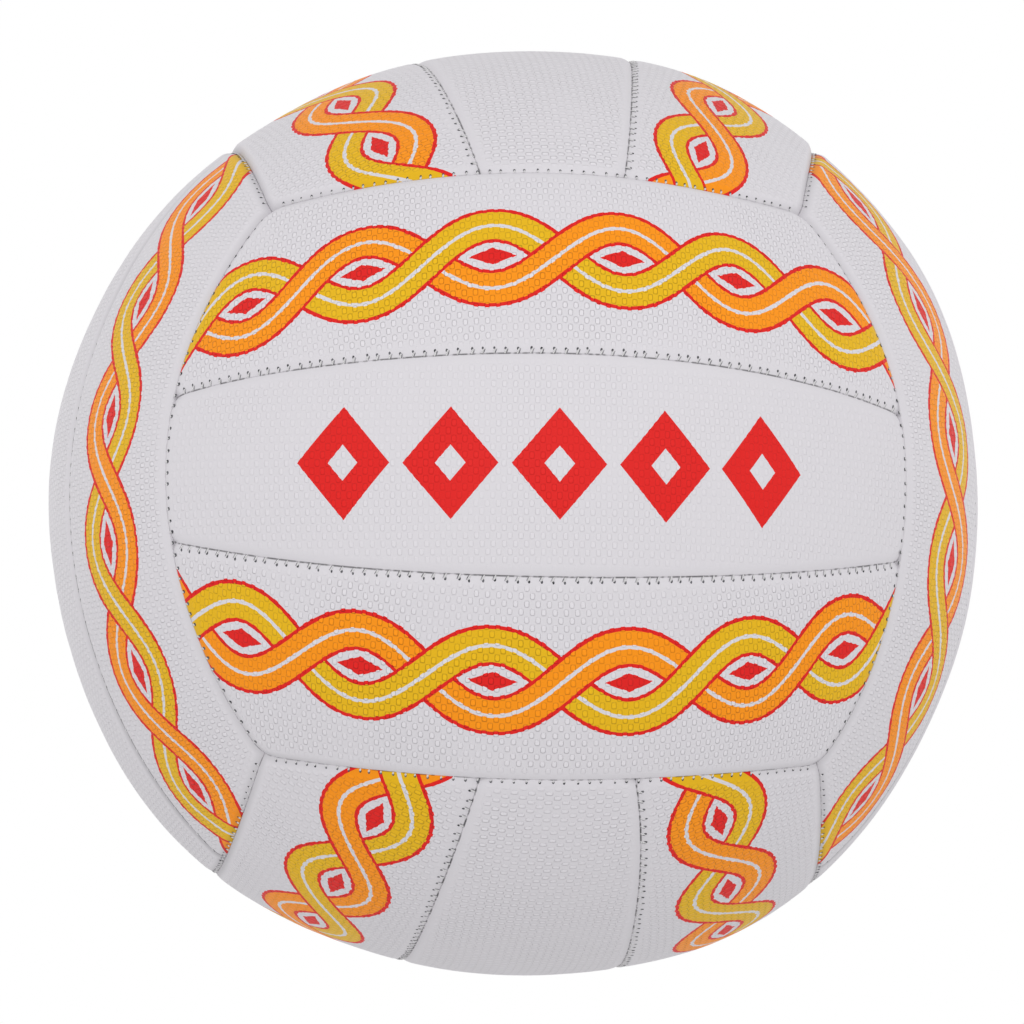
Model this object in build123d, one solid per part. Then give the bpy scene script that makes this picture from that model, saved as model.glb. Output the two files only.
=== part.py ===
from build123d import *

import os
from math import acos, asin, cos, degrees, pi, sin, sqrt

# A size 5 netball, centred on the origin, +Z up, the front face towards -Y.
# Six faces stand on the cube's axes. Each has three strip panels, and the strips of
# neighbouring faces run square to each other. Lengths are in millimetres.

# Whole ball
ball_circumference = 700.0

# Panel layout, measured over the curve of the ball
seam_bow = 11.6  # how far a strip's end seam bows past the cube's edge line
middle_panel_width = 52.3  # across the middle strip, halfway along it
middle_panel_end_width = 33.8  # across the middle strip, at its ends
seam_gap = 0.2  # between the lips of two sewn panels
wall_aim_offset = 3.0  # end seams point at a place this far from the ball's centre, on their axis

# Cover skin: a tray with turned-in lips
skin_thickness = 1.2
skin_lip = 1.1
edge_radius = 1.8
panel_corner_radius = 3.5

# Padding in the tray
padding_thickness = 2.6
padding_clearance = 0.15

# Sewing thread, laid in the valley between two rounded panel edges
thread_diameter = 0.7
thread_clearance = 0.05
thread_end_gap = 2.5  # from the end of a run to the seam that it meets

# Bladder
bladder_wall = 1.2
bladder_clearance = 0.2

# Valve, in the middle panel of the back face
needle_bore_diameter = 2.0
needle_bore_length = 14.0
core_diameter = 4.6
core_length = 18.0
slit_width = 1.6
slit_opening = 0.2
housing_wall = 1.4
housing_floor = 1.5
air_hole_diameter = 2.4
flange_diameter = 24.0
flange_thickness = 1.5
valve_recess = 0.5  # from the ball's surface down to the valve's face
valve_clearance = 0.1

# Radii from the centre outwards
ball_radius = ball_circumference / (2 * pi)
skin_inner_radius = ball_radius - skin_thickness
padding_outer_radius = skin_inner_radius - padding_clearance
panel_inner_radius = padding_outer_radius - padding_thickness
bladder_outer_radius = panel_inner_radius - bladder_clearance
bladder_inner_radius = bladder_outer_radius - bladder_wall

# Valve diameters from the core outwards
core_seat_diameter = core_diameter + 2 * valve_clearance
housing_diameter = core_seat_diameter + 2 * housing_wall
valve_hole_diameter = housing_diameter + 2 * valve_clearance

# Face frame: local X runs along the strips, Y across them and Z out of the ball.
CENTRE = Vector(0, 0, 0)
CORNER = 1 / sqrt(3)  # each coordinate of a cube corner on the unit ball

# End seam at +X: the circle through two cube corners and the bowed middle point
bow_angle = pi / 4 + seam_bow / ball_radius
bow_run_x = sin(bow_angle) - CORNER
bow_run_z = cos(bow_angle) - CORNER
bow_run = sqrt(bow_run_x**2 + bow_run_z**2)
end_axis_x = -bow_run_z / bow_run
end_axis_z = bow_run_x / bow_run
end_cone_angle = acos(CORNER * (end_axis_x + end_axis_z))
end_half_turn = asin(CORNER / sin(end_cone_angle))

# Point where the strip seam at +Y meets the end seam at +X, on the unit ball
tee_turn = middle_panel_end_width / 2 / (ball_radius * sin(end_cone_angle))
tee_reach = sin(end_cone_angle) * cos(tee_turn)
tee_x = cos(end_cone_angle) * end_axis_x + tee_reach * end_axis_z
tee_y = sin(end_cone_angle) * sin(tee_turn)
tee_z = cos(end_cone_angle) * end_axis_z - tee_reach * end_axis_x

# Strip seam at +Y: the plane through its middle point and the two tee points
half_width_angle = middle_panel_width / 2 / ball_radius
strip_run_y = tee_y - sin(half_width_angle)
strip_run_z = tee_z - cos(half_width_angle)
strip_run = sqrt(strip_run_y**2 + strip_run_z**2)
strip_normal_y = -strip_run_z / strip_run
strip_normal_z = strip_run_y / strip_run
strip_offset = strip_normal_y * sin(half_width_angle) + strip_normal_z * cos(half_width_angle)
strip_half_turn = asin(tee_x / sqrt(1 - strip_offset**2))

# Name of a face, its outward axis, the axis that its strips run along,
# and the names of its outer strips on the local +Y and -Y sides
FACES = [
    ("front", (0, -1, 0), (1, 0, 0), "upper", "lower"),
    ("back", (0, 1, 0), (1, 0, 0), "lower", "upper"),
    ("top", (0, 0, 1), (0, 1, 0), "left", "right"),
    ("bottom", (0, 0, -1), (0, 1, 0), "right", "left"),
    ("right", (1, 0, 0), (0, 0, 1), "front", "back"),
    ("left", (-1, 0, 0), (0, 0, 1), "back", "front"),
]
VALVE_FACE = "back"

cutter_span = 4 * ball_radius  # a block this wide takes in the whole ball
STANDING = (Align.CENTER, Align.CENTER, Align.MIN)
HANGING = (Align.CENTER, Align.CENTER, Align.MAX)


def shell(inner_radius, outer_radius):
    """Hollow ball between two radii."""
    return Solid.make_sphere(outer_radius) - Solid.make_sphere(inner_radius)


def dome(inner_radius, outer_radius):
    """Upper side of a hollow ball, without the poles and closing lines of its two spheres."""
    poles = Plane(CENTRE, x_dir=(0, 0, -1), z_dir=(0, 1, 0))
    foot = Pos(0, 0, CORNER * ball_radius / 2)  # well below the corners of a face
    upper_side = foot * Box(cutter_span, cutter_span, cutter_span, align=STANDING)
    return (upper_side & Solid.make_sphere(outer_radius, poles)) - Solid.make_sphere(inner_radius, poles)


def seam_cone(axis, far_side, angle):
    """Cone through a circle on the ball, cut off at both ends, whose wall is an end seam's side.

    Its closing line is on the far side from the seam.
    """
    rise = ball_radius * cos(angle) - wall_aim_offset
    flare = ball_radius * sin(angle) / rise
    low = rise / 2
    high = 2 * ball_radius
    base = Plane(axis * (wall_aim_offset + low), x_dir=far_side, z_dir=axis)
    return Solid.make_cone(low * flare, high * flare, high - low, base)


def beyond_strip_seam(side, inset):
    """Half space outside the strip seam on one side of the middle strip, moved out by an inset."""
    normal = Vector(0, side * strip_normal_y, strip_normal_z)
    start = normal * (strip_offset * ball_radius + inset)
    return Plane(start, z_dir=normal) * Box(cutter_span, cutter_span, cutter_span, align=STANDING)


def between_ends(strip, inset):
    """Stretch of a strip between the two end seams of its face."""
    angle = end_cone_angle - inset / ball_radius
    for end in (1, -1):
        axis = Vector(end * end_axis_x, 0, end_axis_z)
        far_side = Vector(-end * end_axis_z, 0, end_axis_x)
        strip = strip & seam_cone(axis, far_side, angle)
    return strip


def rounded_corners(block, radius):
    """Round the four short upright edges of a panel-shaped block."""
    solid = block.solids()[0]
    return solid.fillet(radius, solid.edges().sort_by(SortBy.LENGTH)[:4])


def middle_block(inner_radius, outer_radius, inset, corner_radius):
    """Middle strip of a face at +Z, drawn in from its seams by an inset."""
    strip = dome(inner_radius, outer_radius)
    for side in (1, -1):
        strip = strip - beyond_strip_seam(side, -inset)
    return rounded_corners(between_ends(strip, inset), corner_radius)


def outer_block(inner_radius, outer_radius, inset, corner_radius):
    """Outer strip on the +Y side of a face, drawn in from its seams by an inset."""
    neighbour_axis = Vector(0, end_axis_z, end_axis_x)
    neighbour_far_side = Vector(0, end_axis_x, -end_axis_z)
    neighbour_end = seam_cone(neighbour_axis, neighbour_far_side, end_cone_angle + inset / ball_radius)
    strip = dome(inner_radius, outer_radius) & beyond_strip_seam(1, inset)
    return rounded_corners(between_ends(strip - neighbour_end, inset), corner_radius)


def skin(strip_block):
    """Cover panel: a tray with a rounded rim outside and a pocket for the padding inside."""
    blank = strip_block(panel_inner_radius, ball_radius, seam_gap / 2, panel_corner_radius)
    rim = max(blank.faces(), key=lambda face: face.area).outer_wire().edges()
    pocket_floor = panel_inner_radius - skin_thickness
    pocket_inset = seam_gap / 2 + skin_lip
    pocket = strip_block(pocket_floor, skin_inner_radius, pocket_inset, panel_corner_radius - skin_lip)
    return blank.fillet(edge_radius, rim) - pocket


def padding(strip_block):
    """Foam and cloth pad that fills a tray, with a clearance all round."""
    inset = seam_gap / 2 + skin_lip + padding_clearance
    corner_radius = panel_corner_radius - skin_lip - padding_clearance
    return strip_block(panel_inner_radius, padding_outer_radius, inset, corner_radius)


def thread_level():
    """Distance of a thread from the ball's centre, where it rests between two rounded edges."""
    reach = edge_radius + thread_diameter / 2 + thread_clearance
    half_span = edge_radius + seam_gap / 2
    return ball_radius - edge_radius + sqrt(reach**2 - half_span**2)


def thread_run(axis, offset, towards, half_turn):
    """Thread along a seam circle about an axis, centred on the direction given."""
    ring_radius = sqrt(thread_level() ** 2 - offset**2)
    half_sweep = degrees(half_turn - thread_end_gap / ring_radius)
    start = towards.rotate(Axis(CENTRE, axis), -half_sweep)
    ring_plane = Plane(axis * offset, x_dir=start, z_dir=axis)
    return Solid.make_torus(ring_radius, thread_diameter / 2, ring_plane, 0, 360, 2 * half_sweep)


def strip_threads():
    """The two thread runs between the strips of a face."""
    runs = []
    for side in (1, -1):
        normal = Vector(0, side * strip_normal_y, strip_normal_z)
        towards = Vector(0, -side * strip_normal_z, strip_normal_y)
        runs.append(thread_run(normal, strip_offset * ball_radius, towards, strip_half_turn))
    return Compound(runs)


def end_threads():
    """The two thread runs at the strip ends of a face."""
    runs = []
    for end in (1, -1):
        axis = Vector(end * end_axis_x, 0, end_axis_z)
        towards = Vector(end * end_axis_z, 0, -end_axis_x)
        runs.append(thread_run(axis, thread_level() * cos(end_cone_angle), towards, end_half_turn))
    return Compound(runs)


def valve_post(diameter, length):
    """Round bar that hangs from the valve's face towards the ball's centre."""
    face_height = ball_radius - valve_recess
    return Pos(0, 0, face_height) * Cylinder(diameter / 2, length, align=HANGING)


def valve_hole():
    """Clearance hole for the valve, from outside the ball to inside the bladder."""
    start = Pos(0, 0, bladder_inner_radius - flange_thickness)
    return start * Cylinder(valve_hole_diameter / 2, ball_radius, align=STANDING)


def valve_housing():
    """Moulded cup for the core, with a flange under the bladder's wall and an air hole in its floor."""
    flange_outer_radius = bladder_inner_radius - valve_clearance
    flange = shell(flange_outer_radius - flange_thickness, flange_outer_radius)
    flange = flange & Cylinder(flange_diameter / 2, ball_radius, align=STANDING)
    cup = valve_post(housing_diameter, core_length + housing_floor)
    air_hole = valve_post(air_hole_diameter, core_length + 2 * housing_floor)
    return flange + cup - valve_post(core_seat_diameter, core_length) - air_hole


def valve_core():
    """Plug with the needle's channel, closed by a slit at its inner end."""
    core = valve_post(core_diameter, core_length)
    channel = valve_post(needle_bore_diameter, needle_bore_length)
    slit_middle = Pos(0, 0, ball_radius - valve_recess - core_length)
    slit = slit_middle * Box(slit_width, slit_opening, core_length, align=STANDING)
    return core - channel - slit


strips = {
    "middle": (skin(middle_block), padding(middle_block)),
    "outer": (skin(outer_block), padding(outer_block)),
}
strip_seam_threads = strip_threads()
end_seam_threads = end_threads()

nodes = {}
for face, outward, along, plus_side, minus_side in FACES:
    frame = Plane(CENTRE, x_dir=along, z_dir=outward)
    turned_frame = Plane(CENTRE, x_dir=-Vector(along), z_dir=outward)
    places = [("middle", "middle", frame), (plus_side, "outer", frame), (minus_side, "outer", turned_frame)]
    for place, strip, strip_frame in places:
        cover, pad = strips[strip]
        if face == VALVE_FACE and place == "middle":
            cover = cover - valve_hole()
            pad = pad - valve_hole()
        nodes[f"panel_{face}_{place}"] = strip_frame * cover
        nodes[f"padding_{face}_{place}"] = strip_frame * pad
    nodes[f"thread_{face}_strips"] = frame * strip_seam_threads
    nodes[f"thread_{face}_ends"] = frame * end_seam_threads
    if face == VALVE_FACE:
        nodes["bladder"] = frame * (shell(bladder_inner_radius, bladder_outer_radius) - valve_hole())
        nodes["valve_housing"] = frame * valve_housing()
        nodes["valve_core"] = frame * valve_core()

os.makedirs("parts", exist_ok=True)
for name, shape in nodes.items():
    export_step(shape, f"parts/{name}.step")
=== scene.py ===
from math import asin, atan2, cos, pi, radians, sin, sqrt

import bmesh
import bpy
from mathutils import Matrix, Vector


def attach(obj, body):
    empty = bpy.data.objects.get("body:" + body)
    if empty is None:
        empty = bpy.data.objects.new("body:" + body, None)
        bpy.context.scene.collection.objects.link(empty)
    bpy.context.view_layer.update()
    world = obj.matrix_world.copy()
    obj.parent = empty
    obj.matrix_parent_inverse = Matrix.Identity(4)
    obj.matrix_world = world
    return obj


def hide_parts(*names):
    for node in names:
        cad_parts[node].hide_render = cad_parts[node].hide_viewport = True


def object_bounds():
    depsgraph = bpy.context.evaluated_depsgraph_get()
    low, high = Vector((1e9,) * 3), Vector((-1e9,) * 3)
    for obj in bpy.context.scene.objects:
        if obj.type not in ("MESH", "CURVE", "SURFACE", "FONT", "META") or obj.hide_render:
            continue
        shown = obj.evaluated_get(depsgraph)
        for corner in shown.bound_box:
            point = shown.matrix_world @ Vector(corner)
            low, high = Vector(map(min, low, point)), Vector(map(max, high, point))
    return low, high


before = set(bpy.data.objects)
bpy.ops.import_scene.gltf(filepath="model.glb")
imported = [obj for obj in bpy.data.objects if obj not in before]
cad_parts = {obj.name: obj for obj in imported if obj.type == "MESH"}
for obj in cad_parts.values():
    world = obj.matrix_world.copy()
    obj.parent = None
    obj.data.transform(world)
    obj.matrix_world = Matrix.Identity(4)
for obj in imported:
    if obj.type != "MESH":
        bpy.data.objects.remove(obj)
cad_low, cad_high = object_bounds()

# A netball: eighteen embossed strip panels, three to a face, sewn over a padded rubber bladder.
# The front face looks towards -Y. Lengths are in metres, apart from the prints, in millimetres.

MM = 0.001
BODY = "root"

# Seams. The panels meet on circles of the ball, in a face frame with X along the strips,
# Y across them and Z out of the ball.
ball_radius = (cad_high[2] - cad_low[2]) / 2
seam_bow = 11.6 * MM
middle_width = 52.3 * MM
middle_end_width = 33.8 * MM
seam_gap = 0.06 * MM

# Cover panel
skin_thickness = 1.2 * MM
skin_lip = 1.1 * MM
lip_slope_end = 1.4  # of the lip's width
rim_depth = 3.95 * MM
corner_radius = 4.5 * MM
edge_drop = 0.55 * MM
edge_roll = 2.8 * MM
side_seam_sink = 2.3  # of the drop at other seams
half_ball_rise = 0.4  # of the radius, up or down, where a half of the ball counts in full
squareness = 0.032
lopsidedness = Vector((0.65, 0.0, -0.2))
corner_pull = 0.28
unevenness = 0.12 * MM
dent_scale = 9.0
panel_columns = 261
panel_rows = 61
even_spacing = 0.15  # share of even steps in a panel's grid, the rest drawn to its edges
rim_start = 0.9999  # of the grid's half width
merge_reach = 0.001 * MM

# Drift of the hand sewing: places on the ball whose seams were pulled aside, and how far
DRIFTS = [
    (Vector((-0.80, -0.60, 0.05)), Vector((-1.3, 1.4, 2.2)) * MM),
    (Vector((0.80, -0.59, -0.10)), Vector((-3.0, -3.0, -0.5)) * MM),
    (Vector((0.25, -0.74, -0.62)), Vector((4.0, 0.0, 0.0)) * MM),
    (Vector((0.18, -0.76, 0.62)), Vector((1.8, 0.0, 0.0)) * MM),
    (Vector((0.58, -0.58, 0.58)), Vector((-5.0, -2.5, -1.3)) * MM),
]
drift_width = 0.28

# Swells and hollows of the pumped-up ball: places on the ball, and how far they stand out
SWELLS = [
    (Vector((-0.52, -0.04, 0.86)), -1.4 * MM),
    (Vector((-0.12, -0.09, 0.99)), -0.6 * MM),
    (Vector((0.38, -0.13, 0.92)), 1.5 * MM),
    (Vector((0.88, -0.13, 0.46)), 0.9 * MM),
    (Vector((0.87, -0.03, -0.50)), -1.4 * MM),
    (Vector((0.45, 0.05, -0.89)), 1.2 * MM),
    (Vector((-0.33, 0.13, -0.94)), -0.9 * MM),
    (Vector((-0.74, 0.14, -0.66)), 0.7 * MM),
    (Vector((-0.98, 0.08, 0.12)), 0.8 * MM),
]
swell_width = 0.17

# Padding in a panel's tray
pad_clearance = 0.15 * MM
pad_columns = 91
pad_rows = 27

# Sewing: each stitch comes out of a needle hole beside a seam and slants down into the seam
stitch_pitch = 2.7 * MM
stitch_end_gap = 2.5 * MM
end_stitch_reach = 0.95 * MM
sunk_stitch_reach = 0.62 * MM
strip_stitch_reach = 1.15 * MM
stitch_slant = radians(24)
spacing_jitter = 0.12  # of the pitch, either way
reach_range = (0.8, 1.2)
length_range = (0.85, 1.12)
face_seed_step = 10
reach_seed_step = 20
length_seed_step = 40
thread_width = 0.5 * MM
thread_height = 0.5 * MM
thread_lift = 0.02 * MM
end_thread_place = 0.5  # this and the next three of the stitch's reach
end_thread_length = 1.3
strip_thread_place = 0.45
strip_thread_length = 1.35
# Needle holes: dark pieces of painted shade where the holes are
end_hole_width = 0.88 * MM
end_hole_length = 1.15 * MM
strip_hole_width = 0.62 * MM
strip_hole_length = 0.85 * MM
# Creases: dark pieces of painted shadow beside each stitch, from its needle hole down to the seam
crease_shadow_width = 0.2 * MM
crease_shadow_length = 1.2  # of the stitch's reach
crease_shadow_offset = 0.36 * MM
hollow_shade_height = 0.16 * MM

# Valve hole in the middle panel of the back face
valve_hole_radius = 3.9 * MM
valve_hole_sides = 48
valve_cut_length = 30 * MM
sliver_length = 0.002 * MM

# Faces: name, outward axis, axis along the strips, and the names of the outer strips
# on the +Y and -Y sides of the face frame
FACES = [
    ("front", (0, -1, 0), (1, 0, 0), "upper", "lower"),
    ("back", (0, 1, 0), (1, 0, 0), "lower", "upper"),
    ("top", (0, 0, 1), (0, 1, 0), "left", "right"),
    ("bottom", (0, 0, -1), (0, 1, 0), "right", "left"),
    ("right", (1, 0, 0), (0, 0, 1), "front", "back"),
    ("left", (-1, 0, 0), (0, 0, 1), "back", "front"),
]

# Seam circles on the unit ball
cube_corner = 1 / sqrt(3)
bow_angle = pi / 4 + seam_bow / ball_radius
end_tilt = atan2(cos(bow_angle) - cube_corner, sin(bow_angle) - cube_corner)
end_cone = bow_angle + end_tilt
corner_turn = asin(cube_corner / sin(end_cone))
tee_turn = middle_end_width / 2 / (ball_radius * sin(end_cone))
half_width_turn = middle_width / 2 / ball_radius
outer_edge_turn = pi / 2 - bow_angle
tee_y = sin(end_cone) * sin(tee_turn)
tee_z = cos(end_cone) * cos(end_tilt) + sin(end_cone) * cos(tee_turn) * sin(end_tilt)
tee_x = sin(end_cone) * cos(tee_turn) * cos(end_tilt) - cos(end_cone) * sin(end_tilt)
strip_tilt = atan2(sin(half_width_turn) - tee_y, cos(half_width_turn) - tee_z)
strip_level = sin(half_width_turn - strip_tilt)
strip_turn = asin(tee_x / cos(asin(strip_level)))

# Colours, linear
WHITE_COVER = (0.735, 0.712, 0.748)
RED_INK = (0.785, 0.012, 0.01)
ORANGE_INK = (1.0, 0.31, 0.003)
MUSTARD_INK = (0.83, 0.485, 0.006)


class Field:
    """A socket of a node tree. Arithmetic on fields adds Math nodes to their tree."""

    def __init__(self, tree, socket):
        self.tree = tree
        self.socket = socket

    def __add__(self, other):
        return calc(self.tree, "ADD", self, other)

    def __radd__(self, other):
        return calc(self.tree, "ADD", other, self)

    def __sub__(self, other):
        return calc(self.tree, "SUBTRACT", self, other)

    def __rsub__(self, other):
        return calc(self.tree, "SUBTRACT", other, self)

    def __mul__(self, other):
        return calc(self.tree, "MULTIPLY", self, other)

    def __rmul__(self, other):
        return calc(self.tree, "MULTIPLY", other, self)

    def __truediv__(self, other):
        return calc(self.tree, "DIVIDE", self, other)

    def __pow__(self, other):
        return calc(self.tree, "POWER", self, other)

    def __abs__(self):
        return calc(self.tree, "ABSOLUTE", self)


def feed(tree, socket, value):
    """Link a field to a socket, or set the socket to a plain value."""
    if isinstance(value, Field):
        tree.links.new(value.socket, socket)
    else:
        socket.default_value = value


def calc(tree, operation, *operands):
    """Math node on plain numbers and fields."""
    node = tree.nodes.new("ShaderNodeMath")
    node.operation = operation
    for socket, operand in zip(node.inputs, operands):
        feed(tree, socket, operand)
    return Field(tree, node.outputs[0])


def root(field):
    return calc(field.tree, "SQRT", field)


def sine(field):
    return calc(field.tree, "SINE", field)


def cosine(field):
    return calc(field.tree, "COSINE", field)


def arc_cosine(field):
    return calc(field.tree, "ARCCOSINE", field)


def at_least(field, low):
    return calc(field.tree, "MAXIMUM", field, low)


def least_of(field, other):
    return calc(field.tree, "MINIMUM", field, other)


def below(field, limit):
    return calc(field.tree, "LESS_THAN", field, limit)


def ramp(field, start, end):
    """Smooth rise from 0 at one value to 1 at another."""
    node = field.tree.nodes.new("ShaderNodeMapRange")
    node.interpolation_type = "SMOOTHSTEP"
    feed(field.tree, node.inputs["Value"], field)
    feed(field.tree, node.inputs["From Min"], start)
    feed(field.tree, node.inputs["From Max"], end)
    return Field(field.tree, node.outputs["Result"])


def separate(vector):
    """X, Y and Z of a vector field."""
    node = vector.tree.nodes.new("ShaderNodeSeparateXYZ")
    feed(vector.tree, node.inputs[0], vector)
    return [Field(vector.tree, socket) for socket in node.outputs]


def combine(x, y, z):
    """Vector field from three fields."""
    tree = x.tree
    node = tree.nodes.new("ShaderNodeCombineXYZ")
    for socket, value in zip(node.inputs, (x, y, z)):
        feed(tree, socket, value)
    return Field(tree, node.outputs[0])


def weighted(vectors, weights):
    """Sum of vectors, each times a field."""
    tree = weights[0].tree
    total = None
    for vector, weight in zip(vectors, weights):
        node = tree.nodes.new("ShaderNodeVectorMath")
        node.operation = "MULTIPLY_ADD"
        feed(tree, node.inputs[0], vector)
        feed(tree, node.inputs[1], combine(weight, weight, weight))
        if total is not None:
            feed(tree, node.inputs[2], total)
        total = Field(tree, node.outputs[0])
    return total


def vector_math(operation, vector, *others):
    """Vector Math node on vector fields."""
    node = vector.tree.nodes.new("ShaderNodeVectorMath")
    node.operation = operation
    for socket, operand in zip(node.inputs, (vector, *others)):
        feed(vector.tree, socket, operand)
    return Field(vector.tree, next(socket for socket in node.outputs if socket.enabled))


def dot(vector, other):
    """Scalar product of two vector fields."""
    return vector_math("DOT_PRODUCT", vector, other)


SOCKETS = {float: "NodeSocketFloat", int: "NodeSocketInt", Vector: "NodeSocketVector"}


def geometry_tree(name, sizes):
    """New Geometry Nodes tree with a named input for each size, and fields of those inputs."""
    tree = bpy.data.node_groups.new(name, "GeometryNodeTree")
    for label, value in sizes.items():
        tree.interface.new_socket(name=label, in_out="INPUT", socket_type=SOCKETS[type(value)])
    tree.interface.new_socket(name="Material", in_out="INPUT", socket_type="NodeSocketMaterial")
    tree.interface.new_socket(name="Geometry", in_out="OUTPUT", socket_type="NodeSocketGeometry")
    inputs = tree.nodes.new("NodeGroupInput")
    return tree, {socket.name: Field(tree, socket) for socket in inputs.outputs if socket.name}


def geometry_node(tree, kind, **values):
    """Node of a geometry tree, with values or fields for its inputs by name."""
    node = tree.nodes.new("GeometryNode" + kind)
    for label, value in values.items():
        feed(tree, node.inputs[label.replace("_", " ")], value)
    return node


def first_output(node):
    return Field(node.id_data, node.outputs[0])


def close_tree(tree, size, parts):
    """Join the parts, realize them, smooth them, set their material and end the tree."""
    joined = geometry_node(tree, "JoinGeometry")
    for part in reversed(parts):
        tree.links.new(part.socket, joined.inputs[0])
    whole = geometry_node(tree, "RealizeInstances", Geometry=first_output(joined))
    merged = geometry_node(tree, "MergeByDistance", Geometry=first_output(whole))
    feed(tree, merged.inputs["Distance"], merge_reach)
    smooth = geometry_node(tree, "SetShadeSmooth", Geometry=first_output(merged))
    finish = geometry_node(tree, "SetMaterial", Geometry=first_output(smooth))
    feed(tree, finish.inputs["Material"], size["Material"])
    end = tree.nodes.new("NodeGroupOutput")
    tree.links.new(finish.outputs[0], end.inputs[0])


def grown(name, tree, sizes, material):
    """Plain mesh object made by a tree with these sizes."""
    seed = bpy.data.objects.new(name + ".seed", bpy.data.meshes.new(name + ".seed"))
    bpy.context.scene.collection.objects.link(seed)
    modifier = seed.modifiers.new("nodes", "NODES")
    modifier.node_group = tree
    values = {**sizes, "Material": material}
    for socket in tree.interface.items_tree:
        if socket.in_out == "INPUT":
            modifier[socket.identifier] = values[socket.name]
    evaluated = seed.evaluated_get(bpy.context.evaluated_depsgraph_get())
    mesh = bpy.data.meshes.new_from_object(evaluated)
    mesh.name = name
    bpy.data.objects.remove(seed)
    piece = bpy.data.objects.new(name, mesh)
    bpy.context.scene.collection.objects.link(piece)
    return piece


def ball_direction(size, x, y, z):
    """Direction in the ball's frame of a direction in the face's frame."""
    return weighted((size["Along"], size["Across"], size["Outward"]), (x, y, z))


def nearness(direction, place, width):
    """1 at a place on the unit ball, falling off around it."""
    apart = vector_math("SUBTRACT", direction, place)
    return calc(direction.tree, "EXPONENT", dot(apart, apart) / (width**2 * -2))


def swelling(size, x, y, z):
    """Factor by which the sewn ball stands out between face middles, less at the cube's corners."""
    direction = ball_direction(size, x, y, z)
    between = 1 - (x**4 + y**4 + z**4)
    lean = 1 + dot(direction, size["Lopsidedness"])
    corner = (x * y * z) ** 2
    factor = 1 + size["Squareness"] * lean * between - size["Corner Pull"] * corner
    for number in range(len(SWELLS)):
        share = nearness(direction, size[f"Swell Place {number}"], size["Swell Width"])
        factor = factor + share * size[f"Swell {number}"] / size["Ball Radius"]
    return factor


def sewn_direction(size, x, y, z):
    """Direction in the ball's frame of a direction in the face's frame, with the sewing's drift."""
    straight = ball_direction(size, x, y, z)
    moved = straight
    for number in range(len(DRIFTS)):
        share = nearness(straight, size[f"Drift Place {number}"], size["Drift Width"])
        drift = weighted([size[f"Drift {number}"]], [share / size["Ball Radius"]])
        moved = vector_math("ADD", moved, drift)
    return vector_math("NORMALIZE", moved)


def meeting(one_axis, other_axis):
    """1 halfway between two axes of the ball, where their faces meet, and 0 on either axis."""
    return (2 * one_axis * other_axis) ** 2


def seam_drop(size, x, y, z):
    """How deep the seams lie, deepest where the side faces meet the top face."""
    across_ball, _, up_ball = separate(ball_direction(size, x, y, z))
    sides_and_top = meeting(across_ball, up_ball) * ramp(up_ball, 0.0, half_ball_rise)
    return size["Edge Drop"] * (1 + size["Side Seam Sink"] * sides_and_top)


def edge_fall(size, distance, drop):
    """How far the surface falls towards a seam at this distance."""
    near = at_least(1 - distance / size["Edge Roll"], 0)
    return drop * near * near


def crowded(field):
    """Even steps from -1 to 1, drawn together near both ends."""
    return even_spacing * field + (1 - even_spacing) * sine(field * (pi / 2))


def edge_doubled(field, count):
    """Even steps from -1 to 1 whose first two and last two fall together."""
    return least_of(at_least(field * (count - 1) / (count - 3), -1), 1)


BALL_SIZES = {
    "Ball Radius": ball_radius,
    "Squareness": squareness,
    "Lopsidedness": lopsidedness,
    "Corner Pull": corner_pull,
    "Drift Width": drift_width,
    "Swell Width": swell_width,
    "End Tilt": end_tilt,
    "End Cone": end_cone,
    "Strip Tilt": strip_tilt,
    "Strip Level": strip_level,
    "Edge Drop": edge_drop,
    "Edge Roll": edge_roll,
    "Side Seam Sink": side_seam_sink,
    "Along": Vector((1, 0, 0)),
    "Across": Vector((0, 1, 0)),
    "Outward": Vector((0, 0, 1)),
}
for drift_number, (drift_place, drift_shift) in enumerate(DRIFTS):
    BALL_SIZES[f"Drift Place {drift_number}"] = drift_place
    BALL_SIZES[f"Drift {drift_number}"] = drift_shift
for swell_number, (swell_place, swell_height) in enumerate(SWELLS):
    BALL_SIZES[f"Swell Place {swell_number}"] = swell_place
    BALL_SIZES[f"Swell {swell_number}"] = swell_height

PANEL_SIZES = {
    **BALL_SIZES,
    "Middle Turn Start": 0.0,
    "Middle Turn End": 0.0,
    "End Turn Start": 0.0,
    "End Turn End": 0.0,
    "Inset": seam_gap / 2,
    "Corner Radius": corner_radius,
    "Top Depth": 0.0,
    "Under Depth": skin_thickness,
    "Rim Depth": rim_depth,
    "Lip": skin_lip,
    "Unevenness": unevenness,
    "Print Turn": 0.0,
    "Columns": panel_columns,
    "Rows": panel_rows,
}


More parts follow.
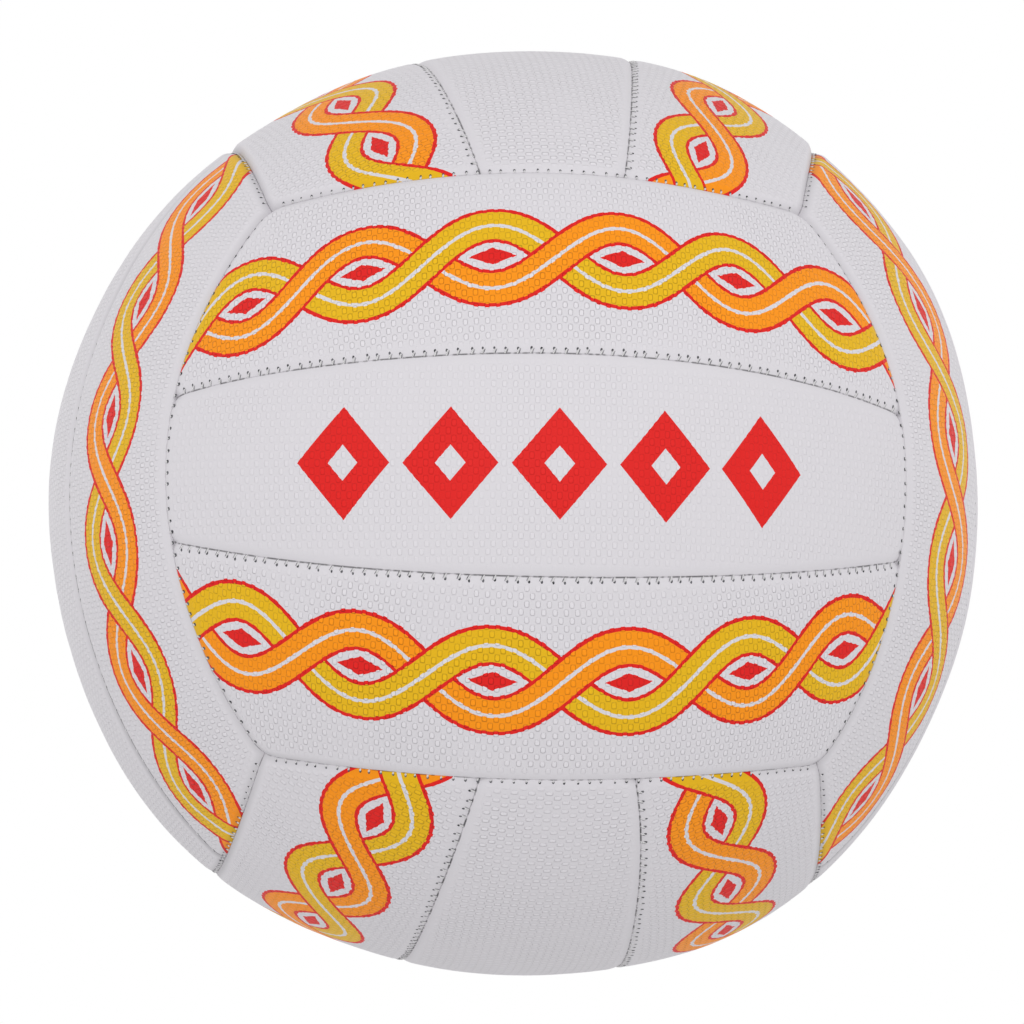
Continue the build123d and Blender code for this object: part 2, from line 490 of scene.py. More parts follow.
def panel_point(size, along, across):
    """Point of the unit ball on a panel: a circle through two end points and a middle point."""
    share = (across + 1) / 2
    end_span = size["End Turn End"] - size["End Turn Start"]
    middle_span = size["Middle Turn End"] - size["Middle Turn Start"]
    end_turn = size["End Turn Start"] + share * end_span
    middle_turn = size["Middle Turn Start"] + share * middle_span
    cone = size["End Cone"] - size["Inset"] / size["Ball Radius"]
    reach = sine(cone) * cosine(end_turn)
    end_x = reach * cosine(size["End Tilt"]) - cosine(cone) * sine(size["End Tilt"])
    end_y = sine(cone) * sine(end_turn)
    end_z = cosine(cone) * cosine(size["End Tilt"]) + reach * sine(size["End Tilt"])
    middle_y = sine(middle_turn)
    middle_z = cosine(middle_turn)
    run_y = middle_y - end_y
    run_z = middle_z - end_z
    run = root(run_y * run_y + run_z * run_z)
    up_y = run_y / run
    up_z = run_z / run
    level = up_z * middle_y - up_y * middle_z
    ring = up_y * middle_y + up_z * middle_z
    turn = along * calc(along.tree, "ARCSINE", end_x / ring)
    rise = ring * cosine(turn)
    return ring * sine(turn), up_z * level + up_y * rise, up_z * rise - up_y * level


def seam_distances(size, x, y, z, is_middle):
    """Distances over the ball to a panel's nearer end seam, nearer side seam and strip seam."""
    towards_end = z * cosine(size["End Tilt"]) - abs(x) * sine(size["End Tilt"])
    to_end = size["End Cone"] - arc_cosine(towards_end)
    if is_middle:
        over = cosine(size["Strip Tilt"]) * abs(y) - sine(size["Strip Tilt"]) * z
        to_strip = size["Strip Level"] - over
        to_side = to_strip
    else:
        over = cosine(size["Strip Tilt"]) * y - sine(size["Strip Tilt"]) * z
        to_strip = over - size["Strip Level"]
        towards_next = y * cosine(size["End Tilt"]) - z * sine(size["End Tilt"])
        to_side = least_of(to_strip, arc_cosine(towards_next) - size["End Cone"])
    return [turn * size["Ball Radius"] for turn in (to_end, to_side, to_strip)]


def placed(grid, radius, direction):
    """Grid moved to a radius along its directions."""
    spot = weighted([direction], [radius])
    return first_output(geometry_node(direction.tree, "SetPosition", Geometry=grid, Position=spot))


def stored(tree, geometry, kind, domain, label, value):
    """Geometry with a named attribute."""
    node = geometry_node(tree, "StoreNamedAttribute")
    node.data_type = kind
    node.domain = domain
    feed(tree, node.inputs["Geometry"], geometry)
    feed(tree, node.inputs["Name"], label)
    values = [socket for socket in node.inputs if socket.name == "Value" and socket.enabled]
    feed(tree, values[0], value)
    return first_output(node)


def panel_tree(name, is_middle):
    """Closed tray: an outer surface rolled in at its seams and an inner surface with a lip."""
    tree, size = geometry_tree(name, PANEL_SIZES)
    grid_node = geometry_node(tree, "MeshGrid", Size_X=2.0, Size_Y=2.0)
    feed(tree, grid_node.inputs["Vertices X"], size["Columns"])
    feed(tree, grid_node.inputs["Vertices Y"], size["Rows"])
    column, row, _ = separate(first_output(geometry_node(tree, "InputPosition")))
    along = edge_doubled(column, size["Columns"])
    across = edge_doubled(row, size["Rows"])
    x, y, z = panel_point(size, crowded(along), crowded(across))
    to_end, to_side, to_strip = seam_distances(size, x, y, z, is_middle)
    past_end = at_least(size["Corner Radius"] - to_end, 0)
    past_side = at_least(size["Corner Radius"] - to_side, 0)
    edge = size["Corner Radius"] - root(past_end * past_end + past_side * past_side)
    rim = calc(tree, "GREATER_THAN", at_least(abs(column), abs(row)), rim_start)

    tilted_y = y * cosine(size["Print Turn"]) - z * sine(size["Print Turn"])
    tilted_z = y * sine(size["Print Turn"]) + z * cosine(size["Print Turn"])
    strip_x = calc(tree, "ARCTAN2", x, tilted_z) * size["Ball Radius"]
    strip_y = calc(tree, "ARCSINE", tilted_y) * size["Ball Radius"]
    strip_uv = combine(strip_x, strip_y, 0.0)
    flat = stored(tree, first_output(grid_node), "FLOAT2", "CORNER", "strip", strip_uv)
    flat = stored(tree, flat, "FLOAT", "POINT", "edge", least_of(to_end, to_side))
    flat = stored(tree, flat, "FLOAT", "POINT", "strip_seam", to_strip)

    whole = size["Ball Radius"] * swelling(size, x, y, z)
    noise = tree.nodes.new("ShaderNodeTexNoise")
    noise.inputs["Scale"].default_value = dent_scale
    noise.inputs["Detail"].default_value = 1.0
    feed(tree, noise.inputs["Vector"], ball_direction(size, x, y, z))
    dents = (Field(tree, noise.outputs[0]) - 0.5) * ramp(edge, 0.0, size["Corner Radius"]) * 2
    fall = edge_fall(size, edge, seam_drop(size, x, y, z))
    top = whole - size["Top Depth"] - fall + size["Unevenness"] * dents
    low = whole - size["Rim Depth"]
    outer_radius = top + rim * (low - top)
    past_lip = ramp(edge, size["Lip"], size["Lip"] * lip_slope_end)
    under = low + (size["Rim Depth"] - size["Under Depth"]) * past_lip
    direction = sewn_direction(size, x, y, z)
    outer = placed(flat, outer_radius, direction)
    inner = placed(flat, under + rim * (low - under), direction)
    turned = first_output(geometry_node(tree, "FlipFaces", Mesh=inner))
    close_tree(tree, size, [outer, turned])
    return tree


STITCH_SIZES = {
    **BALL_SIZES,
    "End Half Turn": corner_turn,
    "Strip Half Turn": strip_turn,
    "Pitch": stitch_pitch,
    "End Gap": stitch_end_gap,
    "End Distance": end_stitch_reach,
    "Strip Distance": strip_stitch_reach,
    "Lift": 0.0,
    "Slant": 0.0,
    "Offset": 0.0,
    "End Length": 0.0,
    "Strip Length": 0.0,
    "End Width": 0.0,
    "Strip Width": 0.0,
    "Height": 0.0,
    "Seed": 0,
}


def random_value(tree, low, high, seed):
    """Random number between two numbers, for each stitch."""
    node = tree.nodes.new("FunctionNodeRandomValue")
    node.data_type = "FLOAT"
    values = {"Min": low, "Max": high, "Seed": seed}
    for socket in node.inputs:
        if socket.enabled and socket.name in values:
            feed(tree, socket, values[socket.name])
    return Field(tree, next(socket for socket in node.outputs if socket.enabled))


def seam_stitches(size, shape, axis, towards, cone, half_turn, distance, length, width, seed_step):
    """One stitch at each step along a seam circle, on the side of the circle's axis."""
    tree = cone.tree
    ring = size["Ball Radius"] * sine(cone)
    span = half_turn * 2 - size["End Gap"] * 2 / ring
    count = calc(tree, "ROUND", span * ring / size["Pitch"])
    points = geometry_node(tree, "MeshLine")
    feed(tree, points.inputs["Count"], count)
    index = first_output(geometry_node(tree, "InputIndex"))
    seed = size["Seed"] + seed_step
    jitter = random_value(tree, -spacing_jitter, spacing_jitter, seed)
    turn = ((index + 0.5 + jitter) / count - 0.5) * span + size["Offset"] / ring
    unsteadiness = random_value(tree, *reach_range, seed + reach_seed_step)
    angle = cone - distance * unsteadiness / size["Ball Radius"]
    sideways = [a - b for a, b in zip(
        (axis[1] * towards[2], axis[2] * towards[0], axis[0] * towards[1]),
        (axis[2] * towards[1], axis[0] * towards[2], axis[1] * towards[0]),
    )]
    radial = [cosine(turn) * t + sine(turn) * s for t, s in zip(towards, sideways)]
    x, y, z = [cosine(angle) * a + sine(angle) * r for a, r in zip(axis, radial)]
    straight_in = [sine(angle) * a - cosine(angle) * r for a, r in zip(axis, radial)]
    forward = [cosine(turn) * s - sine(turn) * t for t, s in zip(towards, sideways)]
    slant = size["Slant"] * unsteadiness
    inward = [cosine(slant) * i + sine(slant) * f for i, f in zip(straight_in, forward)]
    drop = seam_drop(size, x, y, z)
    whole = size["Ball Radius"] * swelling(size, x, y, z)
    radius = whole - edge_fall(size, distance, drop) + size["Lift"]
    axes = (size["Along"], size["Across"], size["Outward"])
    spot = weighted([sewn_direction(size, x, y, z)], [radius])
    slope = drop * 2 / size["Edge Roll"] * (1 - distance / size["Edge Roll"])
    lean = calc(tree, "ARCTANGENT", slope)
    standing = [cosine(lean) * p - sine(lean) * i for p, i in zip((x, y, z), inward)]
    lying = [cosine(lean) * i + sine(lean) * p for p, i in zip((x, y, z), inward)]
    turned = tree.nodes.new("FunctionNodeAxesToRotation")
    turned.primary_axis = "Z"
    turned.secondary_axis = "Y"
    feed(tree, turned.inputs["Primary Axis"], weighted(axes, standing))
    feed(tree, turned.inputs["Secondary Axis"], weighted(axes, lying))
    moved = geometry_node(tree, "SetPosition", Geometry=first_output(points), Position=spot)
    size_jitter = random_value(tree, *length_range, seed + length_seed_step)
    scale = combine(width, length * size_jitter, size["Height"])
    stitches = geometry_node(tree, "InstanceOnPoints", Points=first_output(moved), Instance=shape)
    feed(tree, stitches.inputs["Rotation"], first_output(turned))
    feed(tree, stitches.inputs["Scale"], scale)
    return first_output(stitches)


def stitch_tree(name, segments, rings, ends=True):
    """Stitches along the two strip seams of a face, and along its two end seams if wanted."""
    tree, size = geometry_tree(name, STITCH_SIZES)
    ball = geometry_node(tree, "MeshUVSphere", Segments=segments, Rings=rings, Radius=0.5)
    shape = first_output(ball)
    tilt_sin = sine(size["End Tilt"])
    tilt_cos = cosine(size["End Tilt"])
    strip_sin = sine(size["Strip Tilt"])
    strip_cos = cosine(size["Strip Tilt"])
    strip_cone = arc_cosine(size["Strip Level"])
    zero = size["Lift"] * 0
    runs = []
    for step, side in enumerate((1, -1)):
        end_axis = (tilt_sin * -side, zero, tilt_cos)
        end_towards = (tilt_cos * side, zero, tilt_sin)
        if ends:
            runs.append(seam_stitches(
                size, shape, end_axis, end_towards, size["End Cone"], size["End Half Turn"],
                size["End Distance"], size["End Length"], size["End Width"], step))
        strip_axis = (zero, strip_cos * side, strip_sin * -1)
        strip_towards = (zero, strip_sin * side, strip_cos)
        runs.append(seam_stitches(
            size, shape, strip_axis, strip_towards, strip_cone, size["Strip Half Turn"],
            size["Strip Distance"], size["Strip Length"], size["Strip Width"], step + 2))
    close_tree(tree, size, runs)
    return tree


def new_material(name):
    """Material with a Principled shader, and its tree."""
    material = bpy.data.materials.new(name)
    material.use_nodes = True
    tree = material.node_tree
    shader = tree.nodes["Principled BSDF"]
    return material, tree, shader


def mixed(tree, share, start, end):
    """Colour between two colours."""
    node = tree.nodes.new("ShaderNodeMix")
    node.data_type = "RGBA"
    feed(tree, node.inputs[0], share)
    for socket, colour in ((node.inputs[6], start), (node.inputs[7], end)):
        feed(tree, socket, colour if isinstance(colour, Field) else (*colour, 1.0))
    return Field(tree, node.outputs[2])


def mixed_shader(tree, share, first, second):
    """Shader between two shaders."""
    node = tree.nodes.new("ShaderNodeMixShader")
    feed(tree, node.inputs[0], share)
    tree.links.new(first, node.inputs[1])
    tree.links.new(second, node.inputs[2])
    return node.outputs[0]


def noise_field(tree, scale, detail):
    """Noise on the object's own coordinates, from 0 to 1."""
    coordinates = tree.nodes.new("ShaderNodeTexCoord")
    noise = tree.nodes.new("ShaderNodeTexNoise")
    noise.inputs["Scale"].default_value = scale
    noise.inputs["Detail"].default_value = detail
    tree.links.new(coordinates.outputs["Object"], noise.inputs["Vector"])
    return Field(tree, noise.outputs[0])


def raised(tree, shader, height, distance):
    """Bump on a shader from a height field."""
    bump = tree.nodes.new("ShaderNodeBump")
    bump.inputs["Strength"].default_value = 1.0
    bump.inputs["Distance"].default_value = distance
    feed(tree, bump.inputs["Height"], height)
    tree.links.new(bump.outputs["Normal"], shader.inputs["Normal"])


# Emboss: staggered rows of small raised ovals, across the strip, with a ring of painted shade on
# their sloping sides
oval_pitch_along = 2.55
oval_pitch_across = 3.7
oval_slope = (0.08, 0.5)
ring_outside = (-0.05, 0.16)
ring_inside = (0.2, 0.42)
smooth_border = (1.0, 4.0)
wear_scale = 45.0
wear_range = (0.35, 0.6)
worn_emboss = 0.6
grain_scale = 2600.0
grain_height = 0.1  # of the emboss
emboss_height = 0.16 * MM
plain_emboss = 1.5
twist_emboss = 1.4
lozenge_emboss = 0.75

# Tone and gloss of the cover, with painted shade: the gaps between the ovals darker than the ovals,
# and a darker ring on their sides
cover_shade = 0.965
oval_gap_shade = 0.06
ring_shade_on_white = 0.03
ring_shade_on_ink = 0.2
cloud_scale = 14.0
cloud_paleness = 0.03
cover_roughness = 0.5
oval_polish = 0.06
grain_roughness = 0.06
cover_gloss = 0.22

# Shade in the seams, broken into dashes, with reaches in millimetres from the seam
dash_scale = 620.0
strip_line_depth = 0.52
strip_line_reach = (0.08, 0.34)
strip_dashes = (0.36, 0.58)
end_line_depth = 0.14
low_line_depth = 0.4
end_line_reach = (0.06, 0.26)
end_dashes = (0.42, 0.62)
groove_shade = 0.26
groove_reach = (0.3, 2.2)

# Change in roughness over the mottle of foam and rubber
mottle_roughness = 0.15

# Wobble of a print's edges over the ovals, in millimetres
print_wobble = 0.17
wobble_middle = 0.4

# Print on the outer panels: a twist of two ribbons, in millimetres along and across the strip
twist_pitch = 60.0
twist_swing = 8.5
ribbon_half_width = 4.8
ribbon_outline = 0.9
ribbon_shine = 0.45
eye_half_length = 5.5
eye_half_height = 2.3

# Print on the front middle panel: a row of lozenges
lozenge_count = 5
lozenge_pitch = 25.0
lozenge_half_length = 11.0
lozenge_half_height = 13.0
lozenge_centre = 0.32


def strip_place(tree):
    """Millimetres along and across a strip, and to its nearest seam and its strip seam."""
    uv = tree.nodes.new("ShaderNodeUVMap")
    uv.uv_map = "strip"
    along, across, _ = separate(Field(tree, uv.outputs[0]))
    distances = []
    for label in ("edge", "strip_seam"):
        attribute = tree.nodes.new("ShaderNodeAttribute")
        attribute.attribute_name = label
        distances.append(Field(tree, attribute.outputs["Fac"]) / MM)
    return along / MM, across / MM, *distances


def faces_meeting(tree):
    """Where the side faces meet top and bottom, and where front and back meet the bottom."""
    coordinates = tree.nodes.new("ShaderNodeTexCoord")
    place = vector_math("NORMALIZE", Field(tree, coordinates.outputs["Object"]))
    across_ball, through_ball, up_ball = separate(place)
    side_seams = meeting(across_ball, up_ball)
    low_seams = meeting(through_ball, up_ball) * ramp(0 - up_ball, 0.0, half_ball_rise)
    return side_seams, low_seams


def plain_print(tree, along, across):
    """No print: the bare cover."""
    node = tree.nodes.new("ShaderNodeRGB")
    node.outputs[0].default_value = (*WHITE_COVER, 1.0)
    return first_output(node)


def ribbon_layer(tree, ground, distance, colour):
    """One ribbon over the ground: a coloured band with outlines and a thin pale line."""
    band = mixed(tree, below(distance, ribbon_shine), colour, WHITE_COVER)
    outlined = mixed(tree, below(distance, ribbon_half_width - ribbon_outline), RED_INK, band)
    return mixed(tree, below(distance, ribbon_half_width), ground, outlined)


def twist_print(tree, along, across):
    """Two ribbons twisted round each other, with a red lozenge in each eye."""
    phase = along * (2 * pi / twist_pitch)
    swing = sine(phase) * twist_swing
    slope = cosine(phase) * (twist_swing * 2 * pi / twist_pitch)
    lean = root(1 + slope * slope)
    first = abs(across - swing) / lean
    second = abs(across + swing) / lean
    from_eye = twist_pitch / 4 - calc(tree, "PINGPONG", along, twist_pitch / 4)
    eye = from_eye / eye_half_length + abs(across) / eye_half_height
    ground = mixed(tree, below(eye, 1.0), WHITE_COVER, RED_INK)
    second_over = ribbon_layer(tree, ground, first, ORANGE_INK)
    second_over = ribbon_layer(tree, second_over, second, MUSTARD_INK)
    first_over = ribbon_layer(tree, ground, second, MUSTARD_INK)
    first_over = ribbon_layer(tree, first_over, first, ORANGE_INK)
    return mixed(tree, below(0 - cosine(phase), 0), second_over, first_over)


def lozenge_print(tree, along, across):
    """Row of red lozenges with pale centres."""
    half = lozenge_pitch / 2
    from_middle = abs(calc(tree, "WRAP", along, half, -half))
    size = from_middle / lozenge_half_length + abs(across) / lozenge_half_height
    in_row = below(abs(along), half * lozenge_count)
    shown = (below(size, 1.0) - below(size, lozenge_centre)) * in_row
    return mixed(tree, shown, WHITE_COVER, RED_INK)


def cover_material(name, design, depth):
    """Embossed cover of the ball, with a design printed on it."""
    material, tree, shader = new_material(name)
    along, across, edge, strip_seam = strip_place(tree)
    waves_along = cosine(along * (2 * pi / oval_pitch_along))
    rows = waves_along * cosine(across * (2 * pi / oval_pitch_across))
    grain = noise_field(tree, grain_scale, detail=2.0)
    cloud = noise_field(tree, cloud_scale, detail=3.0)
    wear = noise_field(tree, wear_scale, detail=2.0)
    kept_emboss = worn_emboss + (1 - worn_emboss) * ramp(wear, *wear_range)
    pressed = depth * ramp(edge, *smooth_border) * kept_emboss
    ovals = ramp(rows, *oval_slope) * pressed
    ring = (ramp(rows, *ring_outside) - ramp(rows, *ring_inside)) * pressed

    ink = design(tree, along, across + print_wobble * (ovals - wobble_middle))
    inked = 1 - separate(ink)[2] / WHITE_COVER[2]
    # Painted shade: the ovals paler than the gaps between them, and a darker ring on their sloping
    # sides, darker still on ink
    oval_side_shade = (ring_shade_on_white + (ring_shade_on_ink - ring_shade_on_white) * inked) * ring
    shade = cover_shade + oval_gap_shade * ovals - oval_side_shade + cloud_paleness * cloud

    dashes = noise_field(tree, dash_scale, detail=1.0)
    strip_line = (1 - ramp(strip_seam, *strip_line_reach)) * ramp(dashes, *strip_dashes)
    side_seams, low_seams = faces_meeting(tree)
    end_depth = end_line_depth + low_line_depth * low_seams
    end_line = (1 - ramp(edge, *end_line_reach)) * ramp(dashes, *end_dashes) * end_depth
    sunk = side_seams * (1 - ramp(edge, *groove_reach))
    shade = shade * (1 - strip_line * strip_line_depth) * (1 - end_line)
    shade = shade * (1 - groove_shade * sunk)

    tinted = vector_math("MULTIPLY", ink, combine(shade, shade, shade))
    feed(tree, shader.inputs["Base Color"], tinted)
    roughness = cover_roughness - oval_polish * ovals + grain_roughness * grain
    feed(tree, shader.inputs["Roughness"], roughness)
    shader.inputs["Specular IOR Level"].default_value = cover_gloss
    raised(tree, shader, ovals + grain_height * grain, emboss_height)
    return material


def thread_material():
    """Twisted white polyester thread."""
    material, tree, shader = new_material("white sewing thread")
    twist = tree.nodes.new("ShaderNodeTexWave")
    twist.bands_direction = "DIAGONAL"
    twist.inputs["Scale"].default_value = 1500.0
    coordinates = tree.nodes.new("ShaderNodeTexCoord")
    tree.links.new(coordinates.outputs["Object"], twist.inputs["Vector"])
    ply = Field(tree, twist.outputs["Fac"])
    colour = mixed(tree, ply, start=(0.55, 0.54, 0.55), end=(0.8, 0.79, 0.8))
    feed(tree, shader.inputs["Base Color"], colour)
    shader.inputs["Roughness"].default_value = 0.7
    raised(tree, shader, ply, distance=0.03 * MM)
    return material


def hollow_shade_material(name, dark, light):
    """Dark piece of painted shade in a hollow of the cover, such as a needle hole or a stitch
    crease.
    """
    material, tree, shader = new_material(name)
    speck = noise_field(tree, scale=900.0, detail=2.0)
    paleness = ramp(speck, start=0.35, end=0.65)
    feed(tree, shader.inputs["Base Color"], mixed(tree, paleness, dark, light))
    shader.inputs["Roughness"].default_value = 0.9
    return material


def moulded_material(name, dark, light, roughness, scale, depth):
    """Soft moulded surface with a fine mottle."""
    material, tree, shader = new_material(name)
    speck = noise_field(tree, scale, detail=4.0)
    feed(tree, shader.inputs["Base Color"], mixed(tree, speck, dark, light))
    feed(tree, shader.inputs["Roughness"], roughness + mottle_roughness * (speck - 0.5))
    raised(tree, shader, speck, depth)
    return material


def face_frame(outward, along):
    """Along, across and outward axes of a face."""
    outward = Vector(outward)
    along = Vector(along)
    return along, outward.cross(along), outward


def panel_sizes(is_middle, axes):
    """Sizes of a middle or outer panel in a face's frame."""
    side_turn = seam_gap / 2 / ball_radius
    end_side_turn = side_turn / sin(end_cone)
    sizes = dict(PANEL_SIZES)
    if is_middle:
        turns = (-half_width_turn, half_width_turn, -tee_turn, tee_turn)
    else:
        turns = (half_width_turn, outer_edge_turn, tee_turn, corner_turn)
    sizes["Middle Turn Start"] = turns[0] + side_turn
    sizes["Middle Turn End"] = turns[1] - side_turn
    sizes["End Turn Start"] = turns[2] + end_side_turn
    sizes["End Turn End"] = turns[3] - end_side_turn
    sizes["Print Turn"] = (turns[0] + turns[1]) / 2
    sizes["Along"], sizes["Across"], sizes["Outward"] = axes
    return sizes


def padding_sizes(panel):
    """Sizes of the padding inside a panel's lips."""
    sizes = dict(panel)
    side_turn = (skin_lip + pad_clearance) / ball_radius
    end_side_turn = side_turn / sin(end_cone)
    sizes["Inset"] += skin_lip + pad_clearance
    sizes["Middle Turn Start"] += side_turn
    sizes["Middle Turn End"] -= side_turn
    sizes["End Turn Start"] += end_side_turn
    sizes["End Turn End"] -= end_side_turn
    sizes["Top Depth"] = skin_thickness + pad_clearance
    sizes["Under Depth"] = rim_depth
    sizes["Edge Drop"] = 0.0
    sizes["Unevenness"] = 0.0
    sizes["Columns"] = pad_columns
    sizes["Rows"] = pad_rows
    return sizes


def sewing_sizes(face, axes, seed):
    """Sizes of a face's stitches, and of its dark pieces of painted shade in the needle holes and
    of painted shadow in the creases.
    """
    open_ends = face in ("front", "back")
    end_reach = end_stitch_reach if open_ends else sunk_stitch_reach
    shared = dict(STITCH_SIZES)
    shared["Along"], shared["Across"], shared["Outward"] = axes
    shared["Seed"] = seed
    stitch = {
        **shared,
        "End Distance": end_reach * end_thread_place,
        "Strip Distance": strip_stitch_reach * strip_thread_place,
        "End Length": end_reach * end_thread_length,
        "Strip Length": strip_stitch_reach * strip_thread_length,
        "End Width": thread_width,
        "Strip Width": thread_width,
        "Height": thread_height,
        "Lift": thread_lift,
        "Slant": stitch_slant,
    }
    hole = {
        # Dark pieces of painted shade in the needle holes
        **shared,
        "End Distance": end_reach,
        "End Length": end_hole_length if open_ends else strip_hole_length,
        "Strip Length": strip_hole_length,
        "End Width": end_hole_width if open_ends else strip_hole_width,
        "Strip Width": strip_hole_width,
        "Height": hollow_shade_height,
    }
    # Dark pieces of painted shadow in the creases beside the stitches
    crease = {
        **stitch,
        "Strip Length": strip_stitch_reach * crease_shadow_length,
        "Strip Width": crease_shadow_width,
        "Height": hollow_shade_height,
        "Offset": crease_shadow_offset,
    }
    return stitch, hole, crease


def finished(piece, slot, *nodes):
    """Let a piece ride on the ball, in place of some CAD nodes."""
    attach(piece, BODY)
    if nodes:
        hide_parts(*nodes)


def open_valve_hole(piece):
    """Cut the valve's hole through a cover or pad of the back face, and clean its wall."""
    bpy.ops.mesh.primitive_cylinder_add(
        vertices=valve_hole_sides, radius=valve_hole_radius, depth=valve_cut_length,
        location=(0, ball_radius, 0), rotation=(pi / 2, 0, 0))
    cutter = bpy.context.object
    modifier = piece.modifiers.new("valve hole", "BOOLEAN")
    modifier.object = cutter
    modifier.solver = "EXACT"
    evaluated = piece.evaluated_get(bpy.context.evaluated_depsgraph_get())
    mesh = bpy.data.meshes.new_from_object(evaluated)
    mesh.name = piece.name
    piece.modifiers.clear()
    piece.data = mesh
    bpy.data.objects.remove(cutter)
    form = bmesh.new()
    form.from_mesh(mesh)
    wall = [side for side in form.faces if len(side.verts) > 4]
    bmesh.ops.triangulate(form, faces=wall, ngon_method="BEAUTY")
    bmesh.ops.dissolve_degenerate(form, dist=sliver_length, edges=form.edges)
    form.to_mesh(mesh)
    form.free()


plain_cover = cover_material("embossed cover", plain_print, plain_emboss)
twist_cover = cover_material("embossed cover with twist", twist_print, twist_emboss)
lozenge_cover = cover_material("embossed cover with lozenges", lozenge_print, lozenge_emboss)
thread = thread_material()
# Dark materials: painted shade in the needle holes and painted shadow in the stitch creases
needle_hole_shade = hollow_shade_material("needle hole", dark=(0.03, 0.031, 0.036), light=(0.14, 0.14, 0.155))
crease_painted_shadow = hollow_shade_material("painted stitch shadow", dark=(0.1, 0.1, 0.11), light=(0.42, 0.41, 0.43))
foam = moulded_material(
    "foam and cloth padding", dark=(0.42, 0.4, 0.36), light=(0.6, 0.58, 0.52),
    roughness=0.9, scale=700.0, depth=0.15 * MM)
latex = moulded_material(
    "bladder rubber", dark=(0.012, 0.012, 0.013), light=(0.035, 0.034, 0.034),
    roughness=0.55, scale=60.0, depth=0.05 * MM)
valve_rubber = moulded_material(
    "valve rubber", dark=(0.01, 0.01, 0.011), light=(0.03, 0.03, 0.032),
    roughness=0.5, scale=400.0, depth=0.03 * MM)
core_rubber = moulded_material(
    "valve core rubber", dark=(0.03, 0.03, 0.032), light=(0.07, 0.07, 0.072),
    roughness=0.6, scale=500.0, depth=0.03 * MM)

middle_tree = panel_tree("middle panel", is_middle=True)
outer_tree = panel_tree("outer panel", is_middle=False)
thread_tree = stitch_tree("stitches", segments=8, rings=5)
hole_tree = stitch_tree("needle holes", segments=8, rings=4)
crease_shadow_tree = stitch_tree("painted stitch shadows", segments=8, rings=4, ends=False)

for number, (face, outward, along, plus_side, minus_side) in enumerate(FACES):
    axes = face_frame(outward, along)
    turned_axes = (-axes[0], -axes[1], axes[2])
    for place, strip_axes in (("middle", axes), (plus_side, axes), (minus_side, turned_axes)):
        is_middle = place == "middle"
        tree = middle_tree if is_middle else outer_tree
        if not is_middle:
            material = twist_cover
        elif face == "front":
            material = lozenge_cover
        else:
            material = plain_cover
        sizes = panel_sizes(is_middle, strip_axes)
        cover = grown(f"cover_{face}_{place}", tree, sizes, material)
        pad = grown(f"pad_{face}_{place}", tree, padding_sizes(sizes), foam)
        if is_middle and face == "back":
            open_valve_hole(cover)
            open_valve_hole(pad)
        finished(cover, "cover", f"panel_{face}_{place}")
        finished(pad, "padding", f"padding_{face}_{place}")

    stitch_sizes, hole_sizes, crease_shadow_sizes = sewing_sizes(face, axes, face_seed_step * number)
    stitches = grown(f"stitches_{face}", thread_tree, stitch_sizes, thread)
    finished(stitches, "thread", f"thread_{face}_strips", f"thread_{face}_ends")
    # Dark pieces of painted shade in the needle holes
    holes = grown(f"needle_holes_{face}", hole_tree, hole_sizes, needle_hole_shade)
    finished(holes, "cover")
    # Dark pieces of painted shadow beside the stitches
    creases = grown(f"stitch_creases_{face}", crease_shadow_tree, crease_shadow_sizes, crease_painted_shadow)
    finished(creases, "cover")

# Pieces that keep their solids
inner_materials = {"bladder": latex, "valve_housing": valve_rubber, "valve_core": core_rubber}
for node, material in inner_materials.items():
    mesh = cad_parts[node].data
    mesh.materials.clear()
    mesh.materials.append(material)

# Floor, pale, seen from above only. For the camera it fades into the room away from the ball,
# and for other rays it glows evenly.
floor_half_width = 3.0
floor_fade_start = 0.15
floor_fade_end = 0.75
floor_glow = 0.74
FLOOR_DARK = (0.84, 0.84, 0.84)
FLOOR_LIGHT = (0.87, 0.87, 0.87)
corners = [(-1, -1), (1, -1), (1, 1), (-1, 1)]
floor_points = [(floor_half_width * x, floor_half_width * y, cad_low[2]) for x, y in corners]
floor_mesh = bpy.data.meshes.new("floor")
floor_mesh.from_pydata(floor_points, [], [(0, 1, 2, 3)])
floor = bpy.data.objects.new("floor", floor_mesh)
bpy.context.scene.collection.objects.link(floor)
floor_material, floor_tree, floor_shader = new_material("pale floor")
floor_cloud = noise_field(floor_tree, scale=3.0, detail=2.0)
floor_colour = mixed(floor_tree, floor_cloud, FLOOR_DARK, FLOOR_LIGHT)
feed(floor_tree, floor_shader.inputs["Base Color"], floor_colour)
floor_shader.inputs["Roughness"].default_value = 0.9
glow = floor_tree.nodes.new("ShaderNodeEmission")
glow.inputs["Strength"].default_value = floor_glow
clear = floor_tree.nodes.new("ShaderNodeBsdfTransparent")
floor_rays = floor_tree.nodes.new("ShaderNodeLightPath")
for_camera = Field(floor_tree, floor_rays.outputs["Is Camera Ray"])
floor_side = floor_tree.nodes.new("ShaderNodeNewGeometry")
from_below = Field(floor_tree, floor_side.outputs["Backfacing"])
floor_place = floor_tree.nodes.new("ShaderNodeTexCoord")
floor_x, floor_y, _ = separate(Field(floor_tree, floor_place.outputs["Object"]))
away = ramp(root(floor_x * floor_x + floor_y * floor_y), floor_fade_start, floor_fade_end)
upper_side = mixed_shader(floor_tree, for_camera, glow.outputs[0], floor_shader.outputs[0])
one_sided = mixed_shader(floor_tree, from_below, upper_side, clear.outputs[0])
faded = mixed_shader(floor_tree, away * for_camera, one_sided, clear.outputs[0])
floor_tree.links.new(faded, floor_tree.nodes["Material Output"].inputs["Surface"])
floor_mesh.materials.append(floor_material)

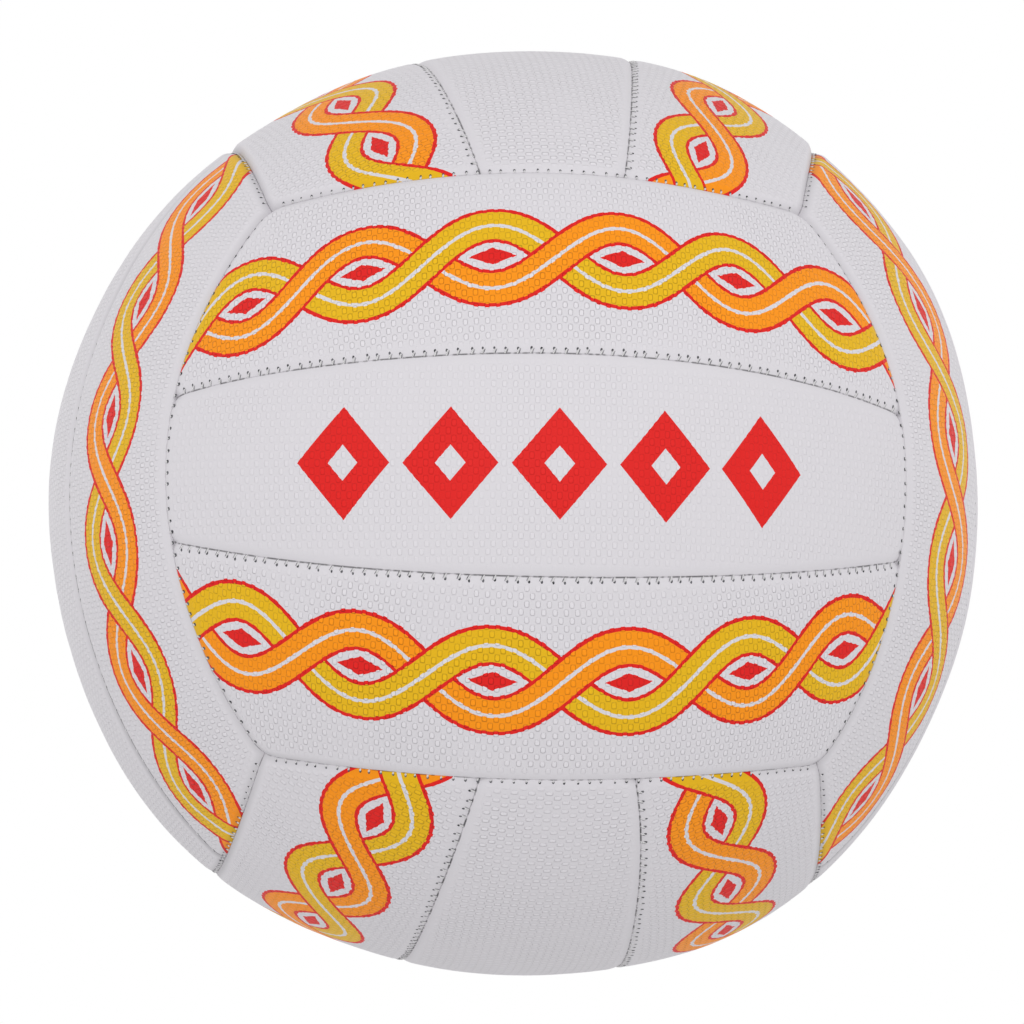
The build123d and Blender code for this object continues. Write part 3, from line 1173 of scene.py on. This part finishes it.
# Light: an even white room and a soft lamp beside the camera
horizon_light = 1.18
zenith_light = 0.64
world = bpy.data.worlds.new("white room")
bpy.context.scene.world = world
world.use_nodes = True
room = world.node_tree
background = room.nodes["Background"]
background.inputs["Color"].default_value = (1, 1, 1, 1)
room_rays = room.nodes.new("ShaderNodeLightPath")
camera_rays = Field(room, room_rays.outputs["Is Camera Ray"])
seen = at_least(camera_rays, Field(room, room_rays.outputs["Is Transmission Ray"]))
sky = room.nodes.new("ShaderNodeTexCoord")
height = at_least(separate(Field(room, sky.outputs["Generated"]))[2], 0)
room_light = horizon_light + (zenith_light - horizon_light) * height
feed(room, background.inputs["Strength"], room_light + (1 - room_light) * seen)


def soft_lamp(name, place, size, power):
    """Square lamp aimed at the ball."""
    lamp = bpy.data.lights.new(name, "AREA")
    lamp.shape = "SQUARE"
    lamp.size = size
    lamp.energy = power
    holder = bpy.data.objects.new(name, lamp)
    holder.location = place
    holder.rotation_euler = Vector(place).to_track_quat("Z", "Y").to_euler()
    holder.visible_camera = False
    bpy.context.scene.collection.objects.link(holder)


soft_lamp("key lamp", place=(-0.15, -1.9, 0.3), size=1.5, power=7.0)

# Camera, below the ball's middle and a little to its left
view_turn = radians(5.29)
view_drop = radians(5.92)
view_roll = radians(-0.32)
view_distance = 2.28
view_right = -0.45 * MM
view_up = 0.26 * MM
back = Vector((-cos(view_drop) * sin(view_turn), -cos(view_drop) * cos(view_turn), -sin(view_drop)))
right = Vector((cos(view_turn), -sin(view_turn), 0))
up = back.cross(right)
rolled_right = right * cos(view_roll) - up * sin(view_roll)
rolled_up = right * sin(view_roll) + up * cos(view_roll)
camera_data = bpy.data.cameras.new("camera")
camera_data.sensor_width = 36.0
camera_data.lens = 332.5
camera_data.clip_end = 50.0
camera = bpy.data.objects.new("camera", camera_data)
turn = Matrix((rolled_right, rolled_up, back)).transposed().to_4x4()
camera_place = back * view_distance + rolled_right * view_right + rolled_up * view_up
camera.matrix_world = Matrix.Translation(camera_place) @ turn
bpy.context.scene.collection.objects.link(camera)
bpy.context.scene.camera = camera
bpy.context.scene.view_settings.view_transform = "Standard"
